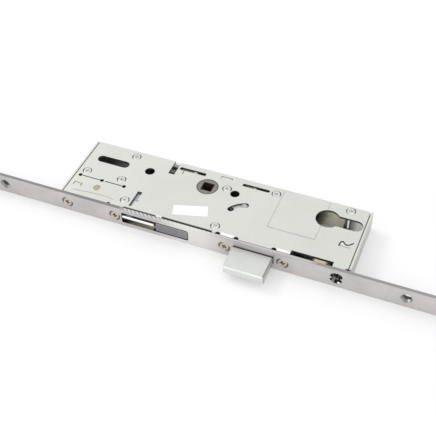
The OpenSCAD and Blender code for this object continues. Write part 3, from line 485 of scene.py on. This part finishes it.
boltNickel = {
    "colour": (0.70, 0.72, 0.695), "cloud": (0.75, 0.765, 0.745), "metallic": 0.7, "rough": (0.3, 0.42),
    "grainScale": 1000, "grainTint": 0.08, "edge": 0.5,
    "marks": [
        {"y": (-67, -64.9, 0.3), "z": (2.3, 9, 0.4), "pattern": grains(150, 0.4, 0.55, 0.45, 1.0),
         "amount": 0.9, "colour": white},  # painted highlight on the front edge
        {"sides": [("X", 0.6, 0.8)], "amount": 0.4, "colour": (0.16, 0.16, 0.16)},  # the side in shade
        # painted shade along the right-hand edge
        {"sides": [("Z", 0.3, 0.6)], "x": (66.1, 67.2, 0.2), "amount": 0.75, "colour": (0.12, 0.12, 0.12)},
        {"x": (30, 52, 8), "pattern": scratches((0, 0, 0.9), 300, 0.5, 0.7), "amount": 0.3,
         "colour": (0.85, 0.87, 0.86)},
        {"y": (-45.9, -44, 0.2),
         "amount": 0.9, "colour": (0.03, 0.03, 0.03)},  # painted shade where it leaves the faceplate
    ],
}

castZinc = {
    "colour": (0.245, 0.235, 0.205), "cloud": (0.30, 0.29, 0.26), "metallic": 0.7, "rough": (0.4, 0.6),
    "grainScale": 1300, "grainTint": 0.3, "bump": 0.3, "edge": 0.4, "bright": (0.5, 0.5, 0.5),
    "marks": [
        # a ring of painted shade round the hub, and a dark brown square in the middle
        {"spots": ([(0, 0)], 7.5, 9, 0.2), "amount": 0.75, "colour": (0.05, 0.05, 0.045)},
        {"x": (-4.3, 4.3, 0.02), "y": (-4.3, 4.3, 0.02), "amount": 0.9, "colour": (0.09, 0.05, 0.035)},
    ],
}

brassStart, brassEnd = endsOf("lower_connector")
connectorBrass = {
    "colour": (0.60, 0.52, 0.28), "cloud": (0.68, 0.60, 0.38), "metallic": 0.8, "rough": (0.3, 0.45),
    "grainScale": 900, "edge": 0.4, "bright": (0.9, 0.85, 0.62),
    "marks": [{"off": {"x": (brassStart + 1.3, brassEnd - 1.1, 0.3)}, "amount": 0.85,
               "colour": (0.10, 0.08, 0.03)}],
}

discBrass = {
    "colour": (0.42, 0.38, 0.20), "cloud": (0.58, 0.55, 0.38), "cloudScale": 160, "metallic": 0.6,
    "rough": (0.3, 0.45), "grainScale": 900, "edge": 0.3, "bright": (0.9, 0.88, 0.75),
    # painted highlight on one side of the disc
    "marks": [{"x": (-74.0, -60, 0.7), "amount": 0.6, "colour": (0.74, 0.73, 0.63)}],
}

# only a narrow line of the pillar in the cylinder's hole is in the light: painted light on that line, and
# painted shade on the rest
litLine = {"x": (104.3, 105.5, 0.15)}
pillarZinc = {
    "colour": (0.97, 0.97, 0.97), "cloud": white, "metallic": 0.2, "rough": (0.3, 0.4), "grainScale": 900,
    "grainTint": 0.05, "edge": 0.2,
    "marks": [{"x": (98, 111, 0.1), "off": litLine, "amount": 0.85, "colour": (0.10, 0.10, 0.09)}],
    "lights": [{**litLine, "colour": (0.5, 0.5, 0.5)}],
}

guideOlive = {
    "colour": (0.3, 0.3, 0.25), "cloud": (0.36, 0.36, 0.3), "metallic": 0.4, "rough": (0.4, 0.55),
    "grainScale": 900, "edge": 0.2,
    # painted shade along the guide, black at its left end and olive grey towards the right
    "marks": [{"amount": 0.9,
               "colour": coloursAlong("X", (-44, (0.02, 0.02, 0.015)), (-26, (0.42, 0.43, 0.34)))}],
}

collarZinc = {
    "colour": (0.5, 0.5, 0.47), "cloud": (0.56, 0.56, 0.52), "metallic": 0.5, "rough": (0.4, 0.55),
    "grainScale": 900, "edge": 0.3,
    # painted shade at the left end, turning into painted light towards the right
    "marks": [{"amount": 0.95,
               "colour": coloursAlong("X", (106.5, (0.10, 0.10, 0.09)), (112.5, (1.0, 1.0, 0.95)))}],
}

finishes = {
    "faceplate_steel": faceplateSteel, "case_zinc": caseZinc, "body_zinc": bodyZinc, "cover_zinc": coverZinc,
    "bright_screws": brightScrews, "tanned_screws": tannedScrews, "rod_steel": rodSteel,
    "latch_grey": latchGrey, "bolt_nickel": boltNickel, "cast_zinc": castZinc, "brass": connectorBrass,
    "disc_brass": discBrass, "pillar_zinc": pillarZinc, "guide_olive": guideOlive, "collar_zinc": collarZinc,
    "bright_pins": {"colour": (0.70, 0.70, 0.70), "cloud": (0.6, 0.6, 0.6), "metallic": 1.0,
                    "rough": (0.18, 0.34), "grainScale": 1500, "edge": 0.3},
    "chromed": {"colour": (0.95, 0.95, 0.95), "cloud": (0.9, 0.9, 0.9), "metallic": 1.0, "rough": (0.08, 0.2),
                "grainTint": 0.05, "bump": 0.05, "edge": 0.2},
    "block_steel": {"colour": (0.34, 0.35, 0.36), "cloud": (0.28, 0.28, 0.29), "metallic": 0.9,
                    "rough": (0.35, 0.55), "bright": (0.6, 0.6, 0.6)},
    "blued_zinc": {"colour": (0.52, 0.57, 0.64), "cloud": (0.62, 0.66, 0.72), "metallic": 0.8,
                   "rough": (0.3, 0.45)},
    "lever_zinc": {"colour": (0.80, 0.80, 0.78), "cloud": (0.88, 0.88, 0.85), "metallic": 0.4,
                   "rough": (0.4, 0.5), "edge": 0.3},
    "spring_steel": {"colour": (0.9, 0.9, 0.88), "cloud": (0.96, 0.96, 0.94), "metallic": 0.7,
                     "rough": (0.22, 0.36), "grainScale": 2000, "edge": 0.0},
}
materials = {name: metalFinish(name, s) for name, s in finishes.items()}

# parts that differ from the others of their slot
ownFinish = {
    "faceplate_screws": "tanned_screws", "guide_rivet": "disc_brass", "cylinder_collar": "collar_zinc",
    "deadbolt_lever": "lever_zinc", "case_pillars": "pillar_zinc", "latch_guide": "guide_olive",
    "case_body": "body_zinc",
}
for entry in frame["record"]["subparts"]:
    mesh = nodes[entry["node"]].data
    mesh.materials.clear()
    mesh.materials.append(materials[ownFinish.get(entry["node"], entry["material_slot"])])
print("finishes on the parts")


# New pieces

def addPiece(bm, name, material, smooth):
    mesh = bpy.data.meshes.new(name)
    bmesh.ops.recalc_face_normals(bm, faces=bm.faces)
    bm.to_mesh(mesh)
    bm.free()
    for face in mesh.polygons:
        face.use_smooth = smooth
    mesh.materials.append(material)
    piece = bpy.data.objects.new(name, mesh)
    bpy.context.scene.collection.objects.link(piece)
    return piece


# A bare sticker on the cover

sticker = {"corners": [(-15.2, -27.0), (-12.4, -36.1), (11.9, -29.3), (8.7, -19.7)], "z": 8.01, "thick": 0.12,
           "round": 0.5, "colours": ((0.95, 0.95, 0.955), (0.99, 0.99, 0.99)), "glow": 0.04, "rough": 0.55,
           "fibreScale": 1800, "fibreRange": (0.3, 0.7), "bump": 0.1, "bumpDepth": 0.03}


def paperFinish(s):
    mat, tree, shader = newMaterial("paper")
    fibre = noiseOf(tree, objectPoints(tree), s["fibreScale"], 3.0)
    tint = mixColour(tree, ramp(tree, fibre, *s["fibreRange"]), *s["colours"])
    tree.links.new(tint, shader.inputs["Base Color"])
    shader.inputs["Emission Color"].default_value = (1, 1, 1, 1)
    shader.inputs["Emission Strength"].default_value = s["glow"]
    shader.inputs["Roughness"].default_value = s["rough"]
    bump = addNode(tree, "ShaderNodeBump", {"Height": fibre, "Strength": s["bump"],
                                            "Distance": s["bumpDepth"] * mm})
    tree.links.new(bump.outputs["Normal"], shader.inputs["Normal"])
    return mat


def makeSticker(s):
    bm = bmesh.new()
    ring = [bm.verts.new((x * mm, y * mm, s["z"] * mm)) for x, y in s["corners"]]
    bm.faces.new(ring)
    bmesh.ops.bevel(bm, geom=ring, offset=s["round"] * mm, segments=4, profile=0.5, affect="VERTICES",
                    material=-1)
    grown = bmesh.ops.extrude_face_region(bm, geom=bm.faces[:])
    upper = [v for v in grown["geom"] if isinstance(v, bmesh.types.BMVert)]
    bmesh.ops.translate(bm, verts=upper, vec=(0, 0, s["thick"] * mm))
    piece = addPiece(bm, "inspection_sticker", paperFinish(s), smooth=False)
    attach(piece, "case")


makeSticker(sticker)
print("sticker made")


# Springs of round wire, each in the place of its solid

springs = {
    "lift_spring": {"axis": "X", "coil": 2.7, "wire": 0.9, "turns": 12, "body": "case"},
    "return_spring": {"axis": "X", "coil": 2.7, "wire": 0.9, "turns": 14, "body": "thrust"},
    "latch_spring": {"axis": "Y", "coil": 2.45, "wire": 0.8, "turns": 8, "body": "latch"},
    "trigger_spring": {"axis": "Y", "coil": 2.2, "wire": 0.8, "turns": 7, "body": "trigger"},
}
ontoAxis = {  # turns a spring from the Z axis onto its own
    "X": Matrix(((0, 0, 1, 0), (0, 1, 0, 0), (-1, 0, 0, 0), (0, 0, 0, 1))),
    "Y": Matrix(((1, 0, 0, 0), (0, 0, 1, 0), (0, -1, 0, 0), (0, 0, 0, 1))),
}


endRise = 1.2  # from each end of a spring to its first turn, in thicknesses of the wire


def springPath(length, s, steps=24):
    # a helix whose wire runs out to the planes at both ends
    inset = endRise * s["wire"]
    count = int(s["turns"] * steps)
    points = []
    for i in range(count + 1):
        angle = 2 * math.pi * i / steps
        points.append(Vector((s["coil"] * math.cos(angle), s["coil"] * math.sin(angle),
                              inset + (length - 2 * inset) * (i / count))))
    first, last = points[0].copy(), points[-1].copy()
    first.z, last.z = 0.0, length
    return [first] + points + [last]


def sweepWire(bm, points, radius, sides=10):
    rings = []
    for i, at in enumerate(points):
        ahead = points[min(i + 1, len(points) - 1)] - at
        behind = at - points[max(i - 1, 0)]
        along = (ahead.normalized() + behind.normalized()).normalized()
        out = Vector((at.x, at.y, 0)).normalized()
        side = along.cross(out).normalized()
        up = side.cross(along).normalized()
        rings.append([bm.verts.new(at + radius * (math.cos(a) * up + math.sin(a) * side))
                      for a in (2 * math.pi * k / sides for k in range(sides))])
    for a, b in zip(rings, rings[1:]):
        for k in range(sides):
            bm.faces.new((a[k], a[(k + 1) % sides], b[(k + 1) % sides], b[k]))
    bm.faces.new(rings[0])
    bm.faces.new(list(reversed(rings[-1])))


def makeSpring(name, s):
    low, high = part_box(name)
    index = "XYZ".index(s["axis"])
    start, end = low.copy(), low.copy()
    end[index] = high[index]
    centre = (low + high) / 2
    centre[index] = low[index]
    bm = bmesh.new()
    sweepWire(bm, springPath((high[index] - low[index]) / mm, s), s["wire"] / 2)
    place = Matrix.Translation(centre) @ ontoAxis[s["axis"]] @ Matrix.Scale(mm, 4)
    bmesh.ops.transform(bm, matrix=place, verts=bm.verts)
    piece = addPiece(bm, name + "_wire", materials["spring_steel"], smooth=True)
    if s["body"] == "case":
        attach(piece, "case")
    else:
        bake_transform(piece)
    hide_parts(name)


for springName, springLook in springs.items():
    makeSpring(springName, springLook)
print("springs made")


# Stage, light and camera

floorLook = {"z": -8.02, "size": 25.0, "glow": 0.22, "strength": 1.25, "shade": (0.93, 0.93, 0.93, 1),
             "patch": (1, 0.3)}
worldLight = 0.92
lamps = {
    "key": {"power": 13.0, "size": (1.0, 0.8), "place": (-1.9, 0.5, 2.0)},
    "fill": {"power": 4.0, "size": (1.6, 1.6), "place": (-0.9, -2.2, 1.4)},
}
lampAim = (0, -0.02, 0)
view = {
    "azimuth": 23.811, "elevation": 44.487, "roll": -1.677, "distance": 631.808,
    "target": (3.802, -21.975, 0), "focal": 870.79, "centre": (201.023, 215.18), "image": 436,
    "sensor": 36, "near": 0.01, "far": 50,
}


def addToScene(name, data):
    obj = bpy.data.objects.new(name, data)
    bpy.context.scene.collection.objects.link(obj)
    return obj


def makeFloor(s):
    bm = bmesh.new()
    bmesh.ops.create_grid(bm, x_segments=1, y_segments=1, size=s["size"])
    bmesh.ops.translate(bm, verts=bm.verts, vec=(0, 0, s["z"] * mm))
    mesh = bpy.data.meshes.new("floor")
    bm.to_mesh(mesh)
    bm.free()
    mat, tree, shader = newMaterial("floor_white")
    tree.nodes.remove(shader)
    diffuse = addNode(tree, "ShaderNodeBsdfDiffuse", {"Color": s["shade"]})
    glow = addNode(tree, "ShaderNodeEmission", {"Color": (1, 1, 1, 1), "Strength": s["strength"]})
    path = addNode(tree, "ShaderNodeLightPath").outputs
    seen = mathOf(tree, "MAXIMUM", path["Is Camera Ray"], path["Is Glossy Ray"])
    seen = mathOf(tree, "MAXIMUM", seen, path["Is Transmission Ray"])
    # the case lies on this patch, so it doesn't glow
    low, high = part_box("case_body")
    inset, soft = s["patch"]
    under = markMask(tree, {axis: (getattr(low, axis) / mm + inset, getattr(high, axis) / mm - inset, soft)
                            for axis in "xy"})
    amount = allOf(tree, [seen, opposite(tree, under), s["glow"]])
    mix = addNode(tree, "ShaderNodeMixShader", {0: amount, 1: diffuse.outputs[0], 2: glow.outputs[0]})
    tree.links.new(mix.outputs[0], tree.nodes["Material Output"].inputs["Surface"])
    mesh.materials.append(mat)
    addToScene("floor", mesh)


def makeWorld(light):
    world = bpy.data.worlds.new("studio")
    bpy.context.scene.world = world
    world.use_nodes = True
    tree = world.node_tree
    back = tree.nodes["Background"]
    path = addNode(tree, "ShaderNodeLightPath").outputs
    seen = mathOf(tree, "MAXIMUM", path["Is Camera Ray"], path["Is Transmission Ray"])
    back.inputs["Color"].default_value = (1, 1, 1, 1)
    tree.links.new(ramp(tree, seen, 0.0, 1.0, light, 1.0), back.inputs["Strength"])


def addLamp(name, s):
    lamp = bpy.data.lights.new(name, "AREA")
    lamp.energy = s["power"]
    lamp.shape = "RECTANGLE"
    lamp.size, lamp.size_y = s["size"]
    obj = addToScene(name, lamp)
    obj.location = s["place"]
    obj.rotation_euler = (Vector(lampAim) - Vector(s["place"])).to_track_quat("-Z", "Y").to_euler()


def makeCamera(s):
    az, el, roll = (math.radians(s[k]) for k in ("azimuth", "elevation", "roll"))
    back = Vector((math.sin(az) * math.cos(el), -math.cos(az) * math.cos(el), math.sin(el)))
    right = Vector((math.cos(az), math.sin(az), 0))
    up = back.cross(right)
    side = math.cos(roll) * right + math.sin(roll) * up
    top = -math.sin(roll) * right + math.cos(roll) * up
    cam = bpy.data.cameras.new("camera")
    cam.sensor_width = s["sensor"]
    cam.lens = s["focal"] / s["image"] * cam.sensor_width
    cam.shift_x = (s["image"] / 2 - s["centre"][0]) / s["image"]
    cam.shift_y = (s["centre"][1] - s["image"] / 2) / s["image"]
    cam.clip_start, cam.clip_end = s["near"], s["far"]
    obj = addToScene("camera", cam)
    place = (Vector(s["target"]) + s["distance"] * back) * mm
    obj.matrix_world = Matrix.Translation(place) @ Matrix((side, top, back)).transposed().to_4x4()
    bpy.context.scene.camera = obj


makeFloor(floorLook)
makeWorld(worldLight)
for lampName, lampLook in lamps.items():
    addLamp(lampName, lampLook)
makeCamera(view)
bpy.context.scene.view_settings.view_transform = "Standard"
print("stage, light and camera set")
